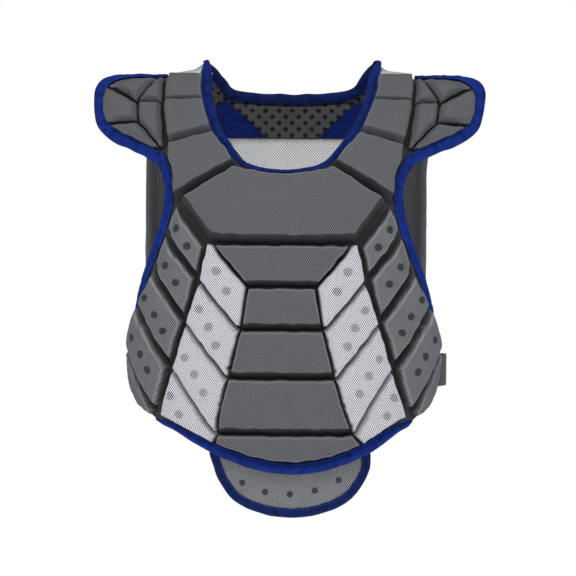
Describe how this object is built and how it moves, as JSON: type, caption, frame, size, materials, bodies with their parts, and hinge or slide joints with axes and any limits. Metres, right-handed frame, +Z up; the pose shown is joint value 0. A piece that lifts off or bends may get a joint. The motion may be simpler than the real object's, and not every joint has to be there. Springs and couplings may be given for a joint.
{
  "type": "catcher's chest protector",
  "caption": "Padded chest protector for catching in softball: a curved front of separate foam pads with shoulder caps and a belly flap, cloth-bound edges, a mesh back and side straps.",
  "frame": {"origin": "where it rests on the shoulders: midway between them, level with the underside of the shoulder straps at their highest", "axes": "+Z up the body, the padded front faces -Y and the back panel +Y, +X towards the wearer's left"},
  "size_m": [0.4796, 0.2733, 0.5602],
  "materials": {
    "grey_cloth": "matt woven polyester over foam",
    "light_mesh": "perforated spacer mesh",
    "side_mesh": "spacer mesh with groups of holes",
    "dark_mesh": "open dark mesh",
    "blue_tape": "woven binding tape",
    "flap_mesh": "spacer mesh with round holes",
    "strap_web": "elastic webbing",
    "buckle": "moulded plastic"
  },
  "bodies": {
    "root": {"front_panel": "dark_mesh", "shoulder_cap_left": "dark_mesh", "shoulder_cap_right": "dark_mesh", "chest_plate": "grey_cloth", "belly_rib_5": "grey_cloth", "belly_rib_1": "grey_cloth", "belly_rib_2": "grey_cloth", "belly_rib_3": "grey_cloth", "belly_rib_4": "grey_cloth", "mesh_rib_1_left": "light_mesh", "mesh_rib_1_right": "light_mesh", "mesh_rib_2_left": "light_mesh", "mesh_rib_2_right": "light_mesh", "mesh_rib_3_left": "light_mesh", "mesh_rib_3_right": "light_mesh", "mesh_rib_4_left": "light_mesh", "mesh_rib_4_right": "light_mesh", "side_rib_1_left": "side_mesh", "side_rib_1_right": "side_mesh", "side_rib_2_left": "side_mesh", "side_rib_2_right": "side_mesh", "side_rib_3_left": "side_mesh", "side_rib_3_right": "side_mesh", "side_rib_4_left": "side_mesh", "side_rib_4_right": "side_mesh", "side_rib_5_left": "side_mesh", "side_rib_5_right": "side_mesh", "shoulder_pad_1_left": "grey_cloth", "shoulder_pad_1_right": "grey_cloth", "shoulder_pad_2_left": "grey_cloth", "shoulder_pad_2_right": "grey_cloth", "shoulder_pad_3_left": "grey_cloth", "shoulder_pad_3_right": "grey_cloth", "cap_outer_1_left": "grey_cloth", "cap_outer_1_right": "grey_cloth", "cap_outer_2_left": "grey_cloth", "cap_outer_2_right": "grey_cloth", "cap_outer_3_left": "grey_cloth", "cap_outer_3_right": "grey_cloth", "cap_inner_1_left": "grey_cloth", "cap_inner_1_right": "grey_cloth", "cap_inner_2_left": "grey_cloth", "cap_inner_2_right": "grey_cloth", "side_binding_left": "blue_tape", "side_binding_right": "blue_tape", "hem_binding": "blue_tape", "neck_binding_front": "blue_tape", "neck_binding_back": "blue_tape", "belly_flap": "flap_mesh", "flap_binding": "blue_tape", "back_panel": "light_mesh", "neck_mesh": "dark_mesh", "neck_gusset_left": "blue_tape", "neck_gusset_right": "blue_tape", "back_binding": "grey_cloth", "side_strap_left": "strap_web", "side_buckle_left": "buckle", "side_strap_right": "strap_web", "side_buckle_right": "buckle"}
  },
  "joints": []
}
